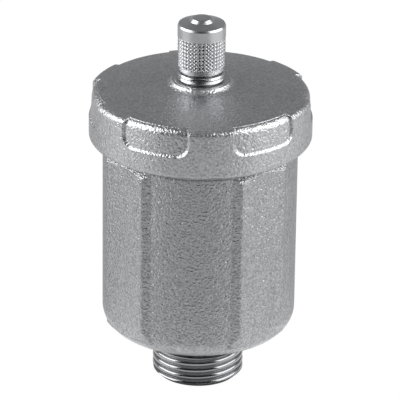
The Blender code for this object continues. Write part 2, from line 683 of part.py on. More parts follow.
def make_bracket():
    """Bent sheet bracket: a base under the roof, two cheeks for the pivot and a bridge that guides the stem."""
    side = SCREW_TAB_HALF_WIDTH
    wide = BRACKET_BASE_HALF_WIDTH
    outline = [(BRACKET_BACK_X, -wide), (-side, -wide), (-side, -SCREW_TAB_END), (side, -SCREW_TAB_END)]
    outline += [(side, -wide), (BRACKET_FRONT_X, -wide), (BRACKET_FRONT_X, wide), (side, wide)]
    outline += [(side, SCREW_TAB_END), (-side, SCREW_TAB_END), (-side, wide), (BRACKET_BACK_X, wide)]
    bracket = object_from("lever_bracket", extruded(outline, BRACKET_BASE_Z, BRACKET_TOP_Z, "Z"))
    leg = BRACKET_LEG_HALF_WIDTH
    inset = 0.15 * MM
    cheek = [(BRACKET_BACK_X + inset, BRACKET_BASE_Z + inset), (BRACKET_BACK_X + inset, PIVOT_Z - 1.0 * MM)]
    cheek += [(PIVOT_X - 1.0 * MM, PIVOT_Z - 1.8 * MM), (PIVOT_X + 1.2 * MM, PIVOT_Z - 1.8 * MM)]
    cheek += [(-leg - 1.0 * MM, PIVOT_Z - 2.8 * MM), (-leg, PIVOT_Z - 4.0 * MM), (-leg, BRIDGE_Z)]
    cheek += [(leg, BRIDGE_Z), (leg, BRACKET_BASE_Z + inset)]
    for sign, label in ((-1, "left"), (1, "right")):
        near = sign * BRACKET_INNER
        far = sign * (BRACKET_INNER + BRACKET_SHEET)
        boolean(bracket, cutter_from("cheek_" + label, extruded(cheek, near, far, "Y")), "UNION")
    reach = BRACKET_INNER + 0.5 * BRACKET_SHEET
    low = (-leg + inset, -reach, BRIDGE_Z + 0.05 * MM)
    high = (leg - inset, reach, BRIDGE_Z + BRACKET_SHEET)
    boolean(bracket, cutter_from("bridge_form", box(low, high)), "UNION")
    hole = rod_y(PIVOT_X, PIVOT_Z, PIN_R + PIN_CLEARANCE, BRACKET_INNER + 2 * BRACKET_SHEET)
    boolean(bracket, cutter_from("pivot_hole", hole), "DIFFERENCE")
    bores = [("nozzle", NOZZLE_TIP_R + 2 * GAP, 0.0, BRACKET_BASE_Z), ("stem", STEM_R + GAP, 0.0, BRIDGE_Z)]
    bores += [("screw_left", SCREW_R + GAP, -SCREW_Y, BRACKET_BASE_Z)]
    bores += [("screw_right", SCREW_R + GAP, SCREW_Y, BRACKET_BASE_Z)]
    for label, radius, y, z in bores:
        low_z = z - 0.5 * MM
        high_z = z + 1.6 * MM
        rod = turned([(0.0, low_z), (radius, low_z), (radius, high_z), (0.0, high_z)], SMALL_ROUND, (0.0, y))
        boolean(bracket, cutter_from("bracket_bore_" + label, rod), "DIFFERENCE")
    stainless(bracket)


def make_bracket_screws():
    """Two small pan-head screws that hold the bracket to the cover's roof."""
    head_z = BRACKET_BASE_Z - GAP
    low = head_z - SCREW_HEAD_HEIGHT
    tip = head_z + SCREW_LENGTH
    for side, label in ((-1, "left"), (1, "right")):
        points = [(0.0, low), (SCREW_HEAD_R - GAP, low), (SCREW_HEAD_R, low + GAP), (SCREW_HEAD_R, head_z)]
        points += [(SCREW_R, head_z), (SCREW_R, tip - GAP), (SCREW_R - GAP, tip), (0.0, tip)]
        screw = object_from("bracket_screw_" + label, turned(points, SMALL_ROUND, (0.0, side * SCREW_Y)))
        stainless(screw)


def make_lever_pin():
    """Pin on the lever's axis through both cheeks, and the clip that keeps it in."""
    grip = BRACKET_INNER + BRACKET_SHEET
    pin = object_from("lever_pin", headed_pin(PIVOT_X, PIVOT_Z, grip))
    clip = object_from("lever_pin_clip", retaining_clip(PIVOT_X, PIVOT_Z, grip))
    stainless(pin)
    stainless(clip)


def make_stem():
    """Obturator stem: tail through the bridge, spring collar, block for the pin, and tip under the seal."""
    travel = joint_empty("stem_travel", (0.0, 0.0, STEM_PIN_Z))
    tail_z = BRIDGE_Z - STEM_TAIL
    collar_top = STEM_COLLAR_Z + STEM_COLLAR_HEIGHT
    tip_z = STEM_PIN_Z + STEM_TIP
    points = [(0.0, tail_z), (STEM_R, tail_z), (STEM_R, STEM_COLLAR_Z), (STEM_COLLAR_R, STEM_COLLAR_Z)]
    points += [(STEM_COLLAR_R, collar_top), (STEM_R, collar_top), (STEM_R, tip_z), (0.0, tip_z)]
    stem = object_from("obturator_stem", turned(points, SMALL_ROUND), travel, (0.0, 0.0, STEM_PIN_Z))
    half = STEM_BLOCK_HALF
    tall = STEM_BLOCK_HALF_HEIGHT
    block = box((-half, -half, STEM_PIN_Z - tall), (half, half, STEM_PIN_Z + tall))
    boolean(stem, cutter_from("stem_block", block), "UNION")
    hole = rod_y(0.0, STEM_PIN_Z, PIN_R + PIN_CLEARANCE, 2 * half)
    boolean(stem, cutter_from("stem_hole", hole), "DIFFERENCE")
    brass(stem)

    half_length = BRACKET_INNER - GAP
    pin = object_from("stem_pin", rod_y(0.0, STEM_PIN_Z, PIN_R, half_length), travel, (0.0, 0.0, STEM_PIN_Z))
    stainless(pin)

    low = STEM_PIN_Z + SEAL_BOTTOM
    high = SEAT_Z - STEM_TRAVEL - SEAL_SEAT_GAP
    pocket_r = STEM_R + GAP
    pocket_z = tip_z + GAP
    points = [(0.0, pocket_z), (pocket_r, pocket_z), (pocket_r, low), (SEAL_R - 0.1 * MM, low)]
    points += [(SEAL_R, low + 0.1 * MM), (SEAL_R, high - GAP), (SEAL_R - GAP, high), (0.0, high)]
    seal = object_from("obturator_seal", turned(points, SMALL_ROUND), travel, (0.0, 0.0, STEM_PIN_Z))
    black_rubber(seal)

    top = WASHER_Z + WASHER_THICKNESS
    bore = STEM_R + GAP
    points = [(bore, WASHER_Z), (STEM_COLLAR_R, WASHER_Z), (STEM_COLLAR_R, top), (bore, top)]
    washer = object_from("spring_washer", turned(points, SMALL_ROUND), travel, (0.0, 0.0, STEM_PIN_Z))
    stainless(washer)


def make_spring():
    """Small compression spring round the stem, between the bridge and the stem's collar."""
    low = BRIDGE_Z + BRACKET_SHEET + GAP + SPRING_WIRE_R
    high = WASHER_Z - GAP - SPRING_WIRE_R
    steps = int(SPRING_TURNS * 14)
    sides = 6
    rings = []
    for i in range(steps + 1):
        turn = math.tau * SPRING_TURNS * i / steps
        outward = Vector((math.cos(turn), math.sin(turn), 0.0))
        center = outward * SPRING_R + Vector((0.0, 0.0, low + (high - low) * i / steps))
        ring = []
        for s in range(sides):
            a = math.tau * s / sides
            ring.append(center + SPRING_WIRE_R * (outward * math.cos(a) + Vector((0.0, 0.0, math.sin(a)))))
        rings.append(ring)
    build = bmesh.new()
    rows = []
    for ring in rings:
        rows.append([build.verts.new(point) for point in ring])
    for lower, upper in zip(rows, rows[1:]):
        join_rows(build, lower, upper)
    build.faces.new(rows[0])
    build.faces.new(list(reversed(rows[-1])))
    spring = object_from("stem_spring", build)
    stainless(spring)


clear_scene()
make_body()
make_cover()
make_cover_ring()
make_nozzle()
make_vent_cap()
make_float()
make_lever()
make_bracket()
make_bracket_screws()
make_lever_pin()
make_stem()
make_spring()
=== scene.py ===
import math

import bmesh
import bpy
from mathutils import Matrix, Vector


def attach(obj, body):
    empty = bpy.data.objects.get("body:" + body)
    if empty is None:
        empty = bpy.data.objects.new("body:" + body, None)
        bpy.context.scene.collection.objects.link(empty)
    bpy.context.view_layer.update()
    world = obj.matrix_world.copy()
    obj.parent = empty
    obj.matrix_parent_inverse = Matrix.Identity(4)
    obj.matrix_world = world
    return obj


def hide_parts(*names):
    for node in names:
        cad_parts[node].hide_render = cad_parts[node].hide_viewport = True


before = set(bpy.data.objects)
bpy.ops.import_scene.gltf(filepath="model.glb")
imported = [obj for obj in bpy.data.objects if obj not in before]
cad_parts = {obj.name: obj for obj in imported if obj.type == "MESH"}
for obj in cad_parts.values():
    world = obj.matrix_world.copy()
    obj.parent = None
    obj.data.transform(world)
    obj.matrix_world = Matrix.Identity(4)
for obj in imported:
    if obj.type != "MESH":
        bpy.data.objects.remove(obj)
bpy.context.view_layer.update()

# Valve body. One forged brass cup with the pipe thread below and the neck for the cover above,
# blasted with fine grit and nickel plated. The thread, the neck and the inside are machined bright.
# Sizes of pieces are in millimetres, which MM turns into metres; studio and camera are in metres.
MM = 0.001
WALL_R = 17.65
WALL_CORNER_R = 4.1
BORE_R = 5.0
CAVITY_R = 15.6
CAVITY_CORNER_R = 1.5
NECK_R = 17.1
SHOULDER_Z = 6.8
SHOULDER_SLOPE = math.radians(27.4)
SHOULDER_WALL = 2.05
LEDGE_Z = 45.8
RIM_Z = 51.3
FLAT_HALF = 17.75
FLAT_LAND = 12.73
FLAT_EDGE = 0.3
FLAT_TURN = math.radians(40.0)
FADE_Z = 12.2
FADE_RISE = 3.2
THREAD_R = 8.331
THREAD_PITCH = 1.337
THREAD_CHAMFER = 0.9
THREAD_TOP_Z = 6.0
THREAD_LAPS = 6
LAP = 1.05
UNDERCUT_R = 7.3


def leave_edit():
    if bpy.context.object and bpy.context.object.mode == "EDIT":
        bpy.ops.object.mode_set(mode="OBJECT")
    bpy.ops.object.select_all(action="DESELECT")


def named(name):
    """Name the piece that was just made."""
    piece = bpy.context.object
    piece.name = name
    piece.data.name = name
    return piece


def settle(turned_too=False):
    """Put the active piece's place, and its turn where asked, into its mesh."""
    bpy.ops.object.transform_apply(location=not turned_too, rotation=turned_too, scale=False)


def pick(kind, test):
    """In edit mode, select the edges or faces that pass a test on their middle and direction."""
    bpy.ops.mesh.select_mode(type=kind)
    bpy.ops.mesh.select_all(action="DESELECT")
    mesh = bmesh.from_edit_mesh(bpy.context.object.data)
    parts = mesh.edges if kind == "EDGE" else mesh.faces
    for part in parts:
        middle = sum((v.co for v in part.verts), Vector()) / len(part.verts) / MM
        along = part.verts[1].co - part.verts[0].co
        part.select_set(bool(test(middle, along.normalized())))
    mesh.select_flush_mode()
    bmesh.update_edit_mesh(bpy.context.object.data)


def draw_profile(profile):
    """From one vertex, extrude a line of (radius, height) points in the XZ plane."""
    leave_edit()
    bpy.ops.mesh.primitive_plane_add(size=MM, location=(0.0, 0.0, 0.0))
    bpy.ops.object.mode_set(mode="EDIT")
    bpy.ops.mesh.select_mode(type="VERT")
    bpy.ops.mesh.select_all(action="SELECT")
    bpy.ops.mesh.merge(type="CENTER")
    r, z = profile[0]
    bpy.ops.transform.translate(value=(r * MM, 0.0, z * MM))
    for (r0, z0), (r1, z1) in zip(profile, profile[1:]):
        step = ((r1 - r0) * MM, 0.0, (z1 - z0) * MM)
        bpy.ops.mesh.extrude_region_move(TRANSFORM_OT_translate={"value": step})
    bpy.ops.mesh.select_all(action="SELECT")
    bpy.ops.mesh.remove_doubles(threshold=0.002 * MM)


def smooth(piece, crease=24.0):
    """Smooth shading, except over edges sharper than a crease angle in degrees."""
    leave_edit()
    bpy.context.view_layer.objects.active = piece
    piece.select_set(True)
    bpy.ops.object.shade_smooth_by_angle(angle=math.radians(crease))


def face_outwards():
    """In edit mode, point every face of a closed shape outwards."""
    bpy.ops.mesh.select_all(action="SELECT")
    bpy.ops.mesh.normals_make_consistent(inside=False)
    bpy.ops.object.mode_set(mode="OBJECT")


def turned(name, profile, steps=192):
    """A turned piece: its profile spun round the valve's axis."""
    draw_profile(profile)
    bpy.ops.mesh.spin(steps=steps, angle=math.tau, center=(0.0, 0.0, 0.0), axis=(0.0, 0.0, 1.0))
    bpy.ops.mesh.select_all(action="SELECT")
    bpy.ops.mesh.remove_doubles(threshold=0.002 * MM)
    face_outwards()
    piece = named(name)
    smooth(piece)
    return piece


def arc(r, z, radius, start, end, steps):
    """Points of a rounded edge in a profile, its angles in degrees from the outward direction."""
    turns = [math.radians(start + (end - start) * i / steps) for i in range(steps + 1)]
    return [(r + radius * math.cos(a), z + radius * math.sin(a)) for a in turns]


def combine(piece, other, operation):
    """Join or cut two closed shapes, and throw the helper away."""
    leave_edit()
    bpy.context.view_layer.objects.active = piece
    piece.select_set(True)
    modifier = piece.modifiers.new(operation.title(), "BOOLEAN")
    modifier.operation = operation
    modifier.solver = "EXACT"
    modifier.object = other
    bpy.ops.object.modifier_apply(modifier=modifier.name)
    bpy.data.objects.remove(other, do_unlink=True)


def shoulder(foot_r, foot_z, wall_r, corner_r, steps):
    """The cone over the thread and the rounded corner that turns it into the wall."""
    tangent_r = wall_r - corner_r + corner_r * math.sin(SHOULDER_SLOPE)
    tangent_z = foot_z + (tangent_r - foot_r) * math.tan(SHOULDER_SLOPE)
    center_z = tangent_z + corner_r * math.cos(SHOULDER_SLOPE)
    start = math.degrees(SHOULDER_SLOPE) - 90.0
    return [(foot_r, foot_z)] + arc(wall_r - corner_r, center_z, corner_r, start, 0.0, steps)


FOOT_R = 8.95
outer_line = shoulder(FOOT_R, SHOULDER_Z, WALL_R, WALL_CORNER_R, 20)
inner_foot_z = SHOULDER_Z - (FOOT_R - BORE_R) * math.tan(SHOULDER_SLOPE)
inner_foot_z += SHOULDER_WALL / math.cos(SHOULDER_SLOPE)
inner_line = shoulder(BORE_R, inner_foot_z, CAVITY_R, CAVITY_CORNER_R, 8)
body_line = [
    (BORE_R + 0.3, 0.0), (THREAD_R - THREAD_CHAMFER, 0.0), (THREAD_R, THREAD_CHAMFER),
    (THREAD_R, THREAD_TOP_Z), (UNDERCUT_R, THREAD_TOP_Z + 0.25), (UNDERCUT_R, SHOULDER_Z),
    (FOOT_R - 0.2, SHOULDER_Z), (FOOT_R - 0.05, SHOULDER_Z + 0.06), *outer_line[1:],
    (WALL_R, 30.0), (WALL_R, LEDGE_Z - 0.2), (WALL_R - 0.2, LEDGE_Z), (NECK_R, LEDGE_Z),
    (NECK_R, RIM_Z - 0.3), (NECK_R - 0.3, RIM_Z), (CAVITY_R + 0.2, RIM_Z),
    (CAVITY_R, RIM_Z - 0.2), *inner_line[::-1], (BORE_R, 0.3), (BORE_R + 0.3, 0.0),
]
body = turned("dressed_body", body_line)

# The four spanner flats stand proud of the round wall and fade into the shoulder
leave_edit()
bpy.ops.mesh.primitive_cylinder_add(
    vertices=4, radius=FLAT_HALF * math.sqrt(2.0) * MM, depth=40.0 * MM,
    location=(0.0, 0.0, 30.0 * MM),
)
flats = named("flats_form")
settle()
bpy.ops.object.mode_set(mode="EDIT")
for width, segments in ((FLAT_LAND, 1), (FLAT_EDGE, 4)):
    pick("EDGE", lambda middle, along: abs(along.z) > 0.9)
    bpy.ops.mesh.bevel(offset=width * MM, offset_type="OFFSET", segments=segments)
bpy.ops.object.mode_set(mode="OBJECT")
flats.rotation_euler = (0.0, 0.0, FLAT_TURN - math.radians(45.0))
settle(turned_too=True)

FADE_R = 16.8
fade_line = [(FADE_R, FADE_Z)]
for step in range(9):
    part = step / 8
    swell = 0.85 * part * part * (3.0 - 2.0 * part)
    fade_line.append((WALL_R + swell, FADE_Z + FADE_RISE * part))
fade_line += [
    (WALL_R + 0.85, LEDGE_Z - 1.1), (WALL_R - 0.15, LEDGE_Z - 0.05), (FADE_R, LEDGE_Z - 0.05),
    (FADE_R, FADE_Z),
]
combine(flats, turned("flats_fade", fade_line, 144), "INTERSECT")
combine(body, flats, "UNION")

# The thread is cut by a groove that climbs to the right and runs out in the undercut below the
# shoulder. Half a turn from crest to root: height and depth as shares of the pitch
half_turn = [
    (0.08, 0.002), (0.11, 0.008), (0.15, 0.02), (0.2, 0.039), (0.25, 0.062), (0.3, 0.09),
    (0.33, 0.112), (0.35, 0.135), (0.485, 0.36), (0.5, 0.368),
]
groove_half = [
    (THREAD_R - deep * THREAD_PITCH, (0.5 - up) * THREAD_PITCH) for up, deep in reversed(half_turn)
]
groove_half.append((THREAD_R + 0.35, groove_half[-1][1]))
groove = [(r, -z) for r, z in reversed(groove_half[1:])] + groove_half
groove_foot = 6.1 - THREAD_LAPS * THREAD_PITCH
draw_profile([(r, z + groove_foot) for r, z in groove + groove[:1]])
bpy.ops.object.mode_set(mode="OBJECT")
cutter = named("thread_groove")
cutter.rotation_euler = (0.0, 0.0, math.radians(90.0))
settle(turned_too=True)
climb = cutter.modifiers.new("Climb", "SCREW")
climb.axis = "Z"
climb.angle = LAP * math.tau
climb.screw_offset = LAP * THREAD_PITCH * MM
climb.iterations = THREAD_LAPS
climb.steps = 100
climb.render_steps = 100
climb.use_merge_vertices = False
bpy.ops.object.modifier_apply(modifier="Climb")
bpy.ops.object.mode_set(mode="EDIT")
bpy.ops.mesh.select_all(action="SELECT")
bpy.ops.mesh.fill_holes(sides=0)
face_outwards()
combine(body, cutter, "DIFFERENCE")
smooth(body)


def new_group(name, inputs, outputs):
    """A shader node group with named number sockets, its entry and its exit."""
    group = bpy.data.node_groups.new(name, "ShaderNodeTree")
    for title, value in inputs.items():
        socket = group.interface.new_socket(title, in_out="INPUT", socket_type="NodeSocketFloat")
        socket.default_value = value
    for title in outputs:
        group.interface.new_socket(title, in_out="OUTPUT", socket_type="NodeSocketFloat")
    return group, group.nodes.new("NodeGroupInput"), group.nodes.new("NodeGroupOutput")


def math_node(tree, operation, a, b=None):
    """A Math node fed by sockets or by plain numbers."""
    node = tree.nodes.new("ShaderNodeMath")
    node.operation = operation
    for slot, value in zip(node.inputs, (a, b)):
        if isinstance(value, (int, float)):
            slot.default_value = value
        elif value is not None:
            tree.links.new(value, slot)
    return node.outputs[0]


def noise_node(tree, vector, scale, detail, roughness):
    node = tree.nodes.new("ShaderNodeTexNoise")
    node.inputs["Scale"].default_value = scale
    node.inputs["Detail"].default_value = detail
    node.inputs["Roughness"].default_value = roughness
    tree.links.new(vector, node.inputs["Vector"])
    return node.outputs["Fac"]


def cell_node(tree, vector, scale):
    node = tree.nodes.new("ShaderNodeTexVoronoi")
    node.inputs["Scale"].default_value = scale
    tree.links.new(vector, node.inputs["Vector"])
    return node


def split_node(tree, vector):
    node = tree.nodes.new("ShaderNodeSeparateXYZ")
    tree.links.new(vector, node.inputs[0])
    return node.outputs


def millimetres(tree, per_unit):
    """Object coordinates divided by a size in millimetres."""
    place = tree.nodes.new("ShaderNodeTexCoord")
    scale = tree.nodes.new("ShaderNodeVectorMath")
    scale.operation = "SCALE"
    tree.links.new(place.outputs["Object"], scale.inputs[0])
    tree.links.new(math_node(tree, "DIVIDE", 1000.0, per_unit), scale.inputs["Scale"])
    return scale.outputs["Vector"]


def blast_group():
    """Grit-blasted skin: a fine grain, shallow hollows in it and, far apart, small deep pits."""
    inputs = {"Grain mm": 0.22, "Pit share": 0.35, "Pit mm": 3.0}
    tree, entry, leave = new_group("grit_blasted_skin", inputs, ("Height", "Tone", "Pits"))
    spot = millimetres(tree, entry.outputs["Grain mm"])
    fine = noise_node(tree, spot, 1.0, 1.0, 0.6)
    wide = noise_node(tree, spot, 0.21, 2.0, 0.5)
    deep = cell_node(tree, millimetres(tree, entry.outputs["Pit mm"]), 5.0)
    chosen = math_node(tree, "LESS_THAN", deep.outputs["Color"], 0.34)
    inside = math_node(tree, "LESS_THAN", deep.outputs["Distance"], 0.07)
    pitted = math_node(tree, "MULTIPLY", chosen, inside)
    tree.links.new(pitted, leave.inputs["Pits"])
    hollow = math_node(tree, "MULTIPLY", cell_node(tree, spot, 0.55).outputs["Distance"], 2.2)
    hollow = math_node(tree, "MINIMUM", hollow, 1.0)
    hollow = math_node(tree, "MULTIPLY", hollow, entry.outputs["Pit share"])
    height = math_node(tree, "ADD", fine, math_node(tree, "MULTIPLY", wide, 0.3))
    height = math_node(tree, "ADD", height, hollow)
    tree.links.new(math_node(tree, "SUBTRACT", height, pitted), leave.inputs["Height"])
    tone = math_node(tree, "MULTIPLY", fine, 0.85)
    tone = math_node(tree, "ADD", tone, math_node(tree, "MULTIPLY", wide, 0.15))
    tree.links.new(tone, leave.inputs["Tone"])
    return tree


def marks_group():
    """Tool marks of a lathe: fine rings round the valve's axis, uneven from ring to ring."""
    tree, entry, leave = new_group("lathe_marks", {"Ring mm": 0.08}, ("Height", "Tone"))
    spot = millimetres(tree, entry.outputs["Ring mm"])
    split = split_node(tree, spot)
    across = math_node(tree, "MULTIPLY", split["X"], split["X"])
    deep = math_node(tree, "MULTIPLY", split["Y"], split["Y"])
    radius = math_node(tree, "SQRT", math_node(tree, "ADD", across, deep))
    line = tree.nodes.new("ShaderNodeCombineXYZ")
    tree.links.new(radius, line.inputs["X"])
    tree.links.new(split["Z"], line.inputs["Y"])
    tree.links.new(noise_node(tree, line.outputs[0], 1.0, 3.0, 0.6), leave.inputs["Height"])
    tree.links.new(noise_node(tree, spot, 0.03, 2.0, 0.5), leave.inputs["Tone"])
    return tree


def handling_group():
    """Broad, faint clouds of wear and haze that no two places of a used surface share."""
    inputs = {"Cloud mm": 6.0, "Least": 0.9, "Most": 1.1}
    tree, entry, leave = new_group("handling_haze", inputs, ("Value",))
    clouds = noise_node(tree, millimetres(tree, entry.outputs["Cloud mm"]), 1.0, 4.0, 0.55)
    stretch = tree.nodes.new("ShaderNodeMapRange")
    stretch.inputs["From Min"].default_value = 0.3
    stretch.inputs["From Max"].default_value = 0.7
    tree.links.new(clouds, stretch.inputs["Value"])
    tree.links.new(entry.outputs["Least"], stretch.inputs["To Min"])
    tree.links.new(entry.outputs["Most"], stretch.inputs["To Max"])
    tree.links.new(stretch.outputs["Result"], leave.inputs["Value"])
    return tree


blast = blast_group()
marks = marks_group()
handling = handling_group()


def effect(tree, group, **values):
    """Place a shared effect in a material with this material's own values."""
    node = tree.nodes.new("ShaderNodeGroup")
    node.node_tree = group
    for name, value in values.items():
        node.inputs[name.replace("_", " ")].default_value = value
    return node.outputs


def new_material(name, metallic):
    material = bpy.data.materials.new(name)
    material.use_nodes = True
    shader = material.node_tree.nodes["Principled BSDF"]
    shader.inputs["Metallic"].default_value = metallic
    return material, material.node_tree, shader


def finish(tree, shader, tone, stops, cloud_mm, smoothest, dullest):
    """A base colour that follows a tone between two stops, and a roughness that drifts."""
    node = tree.nodes.new("ShaderNodeValToRGB")
    for element, (place, color) in zip(node.color_ramp.elements, stops):
        element.position = place
        element.color = (*color, 1.0)
    tree.links.new(tone, node.inputs["Fac"])
    tree.links.new(node.outputs["Color"], shader.inputs["Base Color"])
    haze = effect(tree, handling, Cloud_mm=cloud_mm, Least=smoothest, Most=dullest)
    tree.links.new(haze["Value"], shader.inputs["Roughness"])


def bump(tree, shader, height, distance_mm, strength=1.0, edge_mm=0.0):
    """Raise a height on the surface, over edges that are softened by a small radius where given."""
    node = tree.nodes.new("ShaderNodeBump")
    node.inputs["Strength"].default_value = strength
    node.inputs["Distance"].default_value = distance_mm * MM
    tree.links.new(height, node.inputs["Height"])
    if edge_mm:
        edge = tree.nodes.new("ShaderNodeBevel")
        edge.samples = 6
        edge.inputs["Radius"].default_value = edge_mm * MM
        tree.links.new(edge.outputs["Normal"], node.inputs["Normal"])
    tree.links.new(node.outputs["Normal"], shader.inputs["Normal"])


def cool_grey(value):
    """The faintly blue grey of nickel plate."""
    return (value, value * 1.012, value * 1.04)


def blasted_nickel(name, dark, light, depth_mm):
    material, tree, shader = new_material(name, 1.0)
    skin = effect(tree, blast, Grain_mm=0.4, Pit_share=0.4, Pit_mm=3.2)
    # The base colour is darker in the deep pits: painted shade in the pits.
    tone_with_pit_shade = math_node(tree, "SUBTRACT", skin["Tone"], skin["Pits"])
    stops = [(0.34, cool_grey(dark)), (0.66, cool_grey(light))]
    finish(tree, shader, tone_with_pit_shade, stops, 5.0, 0.3, 0.38)
    bump(tree, shader, skin["Height"], depth_mm, 1.0, 0.25)
    return material


def bright_nickel(name, grey, mark_mm, smoothest=0.12, dullest=0.24):
    material, tree, shader = new_material(name, 1.0)
    rings = effect(tree, marks, Ring_mm=0.12)
    stops = [(0.3, cool_grey(grey)), (0.7, cool_grey(grey * 1.15))]
    finish(tree, shader, rings["Tone"], stops, 2.5, smoothest, dullest)
    bump(tree, shader, rings["Height"], mark_mm, 1.0, 0.04)
    return material


def machined(middle):
    """Whether a face of the body is cut bright: thread, neck or cavity wall."""
    thread = middle.z < SHOULDER_Z - 0.01
    neck = middle.z > LEDGE_Z - 0.01
    inside = math.hypot(middle.x, middle.y) < CAVITY_R + 0.4 and middle.z > 12.0
    return thread or neck or inside


body.data.materials.clear()
body.data.materials.append(blasted_nickel("blasted_body_plate", 0.36, 0.58, 0.18))
# The thread's plate has a darker grey than the other bright plate: painted shade for the thread
# under the body's shoulder, shared by the neck and the inside.
body.data.materials.append(bright_nickel("bright_thread_plate_painted_shade", 0.34, 0.003))
for face in body.data.polygons:
    face.material_index = 1 if machined(face.center / MM) else 0
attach(body, "housing")
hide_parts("body")

# Float. Two moulded plastic halves, a cup and a lid with the lug for the hook pin, welded along
# their seam. Both are the frame's own solids.


def dress(material, *names):
    """Give carried-over solids their finish."""
    for name in names:
        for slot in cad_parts[name].material_slots:
            slot.material = material


def moulded_plastic():
    material, tree, shader = new_material("natural_moulded_plastic", 0.0)
    skin = effect(tree, blast, Grain_mm=0.35, Pit_share=0.1)
    stops = [(0.3, (0.74, 0.73, 0.67)), (0.7, (0.8, 0.79, 0.74))]
    finish(tree, shader, skin["Tone"], stops, 9.0, 0.36, 0.5)
    shader.inputs["Subsurface Weight"].default_value = 0.1
    shader.inputs["Subsurface Radius"].default_value = (0.001, 0.0009, 0.0007)
    bump(tree, shader, skin["Height"], 0.01, 0.5)
    return material


dress(moulded_plastic(), "float_shell", "float_lid")

# Lever, its bracket, the pins with their clips, the screws, the spring and its washer. Pressed,
# turned or drawn stainless steel, hung under the cover's roof.


def stainless_steel():
    material, tree, shader = new_material("stainless_steel", 1.0)
    skin = effect(tree, blast, Grain_mm=0.5, Pit_share=0.15)
    stops = [(0.3, (0.53, 0.53, 0.52)), (0.7, (0.62, 0.62, 0.61))]
    finish(tree, shader, skin["Tone"], stops, 3.0, 0.24, 0.38)
    bump(tree, shader, skin["Height"], 0.01, 0.5)
    return material


steel = stainless_steel()
dress(steel, "lever_bracket", "bracket_screw_left", "bracket_screw_right")
dress(steel, "lever_pin", "lever_pin_clip", "float_lever", "hook_pin", "hook_pin_clip")
dress(steel, "stem_pin", "spring_washer", "stem_spring")

# Obturator stem. Turned from plain brass, with the block that the stem pin passes through. It
# slides in the bracket and lifts the seal to the nozzle's seat.


def turned_brass():
    material, tree, shader = new_material("turned_brass", 1.0)
    rings = effect(tree, marks, Ring_mm=0.1)
    stops = [(0.3, (0.68, 0.5, 0.24)), (0.7, (0.78, 0.6, 0.32))]
    finish(tree, shader, rings["Tone"], stops, 2.0, 0.2, 0.32)
    bump(tree, shader, rings["Height"], 0.006, 0.6)
    return material


dress(turned_brass(), "obturator_stem")

# Rubber pieces. Two sealing rings, the seal on the stem's tip and the gasket in the vent cap,
# all moulded from matt black rubber.


def moulded_rubber():
    material, tree, shader = new_material("moulded_black_rubber", 0.0)
    skin = effect(tree, blast, Grain_mm=0.15, Pit_share=0.3)
    stops = [(0.3, (0.014, 0.014, 0.015)), (0.7, (0.03, 0.03, 0.03))]
    finish(tree, shader, skin["Tone"], stops, 4.0, 0.62, 0.8)
    bump(tree, shader, skin["Height"], 0.012, 0.5)
    return material


dress(moulded_rubber(), "cover_o_ring", "nozzle_o_ring", "obturator_seal", "vent_cap_gasket")

# Cover. Forged brass, blasted and plated as the body, with six grip pads sunk in its rim and a
# boss in the middle of its shallow crown. It screws down over the body's neck.
COVER_R = 20.15
COVER_BORE_R = 17.4
LIP_R = 18.75
LIP_Z = 46.3
EDGE_Z = 55.85
CROWN_R = 19.0
CROWN_Z = 57.1
BOSS_Z = 57.95
BOSS_BORE_R = 3.6
ROOF_Z = 53.1
PAD_COUNT = 6
PAD_TURN = 95.6
PAD_R = 19.8
PAD_TOP_R = 19.6
PAD_HALF = 6.22
PAD_FOOT_Z = 51.2
PAD_HEAD_Z = 57.4
PAD_CORNER = 2.2
PAD_SLICES = 24
POCKET_REACH = 1.4
SCREW_Y = 6.3
SCREW_HOLE_R = 1.2

crown_line = []
for step in range(9):
    part = step / 8
    rise = 1.0 - (1.0 - part) ** 1.7
    foot_z = EDGE_Z + 0.08
    crown_line.append((CROWN_R - 11.7 * part, foot_z + (CROWN_Z - EDGE_Z - 0.08) * rise))
boss_line = [(6.9, CROWN_Z)] + arc(6.55, CROWN_Z + 1.5, 1.5, 265.0, 209.0, 8)
boss_line += arc(4.65, BOSS_Z - 0.2, 0.2, 20.0, 90.0, 3)
cover_line = [
    (COVER_BORE_R, LIP_Z), (LIP_R - 0.1, LIP_Z), (LIP_R, LIP_Z + 0.08), (19.85, LIP_Z + 0.75),
    *arc(COVER_R - 0.6, LIP_Z + 1.35, 0.6, -35.0, 0.0, 4),
    *arc(COVER_R - 0.95, EDGE_Z - 0.92, 0.95, 0.0, 80.0, 10), *crown_line, *boss_line,
    (BOSS_BORE_R, BOSS_Z), (BOSS_BORE_R, ROOF_Z), (COVER_BORE_R, ROOF_Z), (COVER_BORE_R, LIP_Z),
]
cover = turned("dressed_cover", cover_line, 240)

# One pad's pocket: a block with rounded lower corners and flared sides, bent to the rim
leave_edit()
bpy.ops.mesh.primitive_cube_add(size=1.0, location=(0.0, 0.0, 0.0))
pocket = named("pad_pocket")
pocket.scale = (2 * PAD_HALF * MM, 2 * POCKET_REACH * MM, (PAD_HEAD_Z - PAD_FOOT_Z) * MM)
pocket.location = (0.0, 0.0, (PAD_HEAD_Z + PAD_FOOT_Z) / 2 * MM)
bpy.ops.object.transform_apply(location=True, rotation=True, scale=True)
bpy.ops.object.mode_set(mode="EDIT")
pick("EDGE", lambda middle, along: abs(along.y) > 0.9 and middle.z < PAD_FOOT_Z + 0.1)
bpy.ops.mesh.bevel(offset=PAD_CORNER * MM, offset_type="OFFSET", segments=10)
bpy.ops.mesh.select_all(action="SELECT")
bpy.ops.mesh.bisect(plane_co=(0.0, 0.0, 0.0), plane_no=(0.0, 1.0, 0.0))
pick("FACE", lambda middle, along: middle.y < -POCKET_REACH + 0.01)
flare = 1.0 + POCKET_REACH / PAD_HALF
head = (0.0, -POCKET_REACH * MM, PAD_HEAD_Z * MM)
bpy.ops.transform.resize(value=(flare, 1.0, flare), center_override=head)
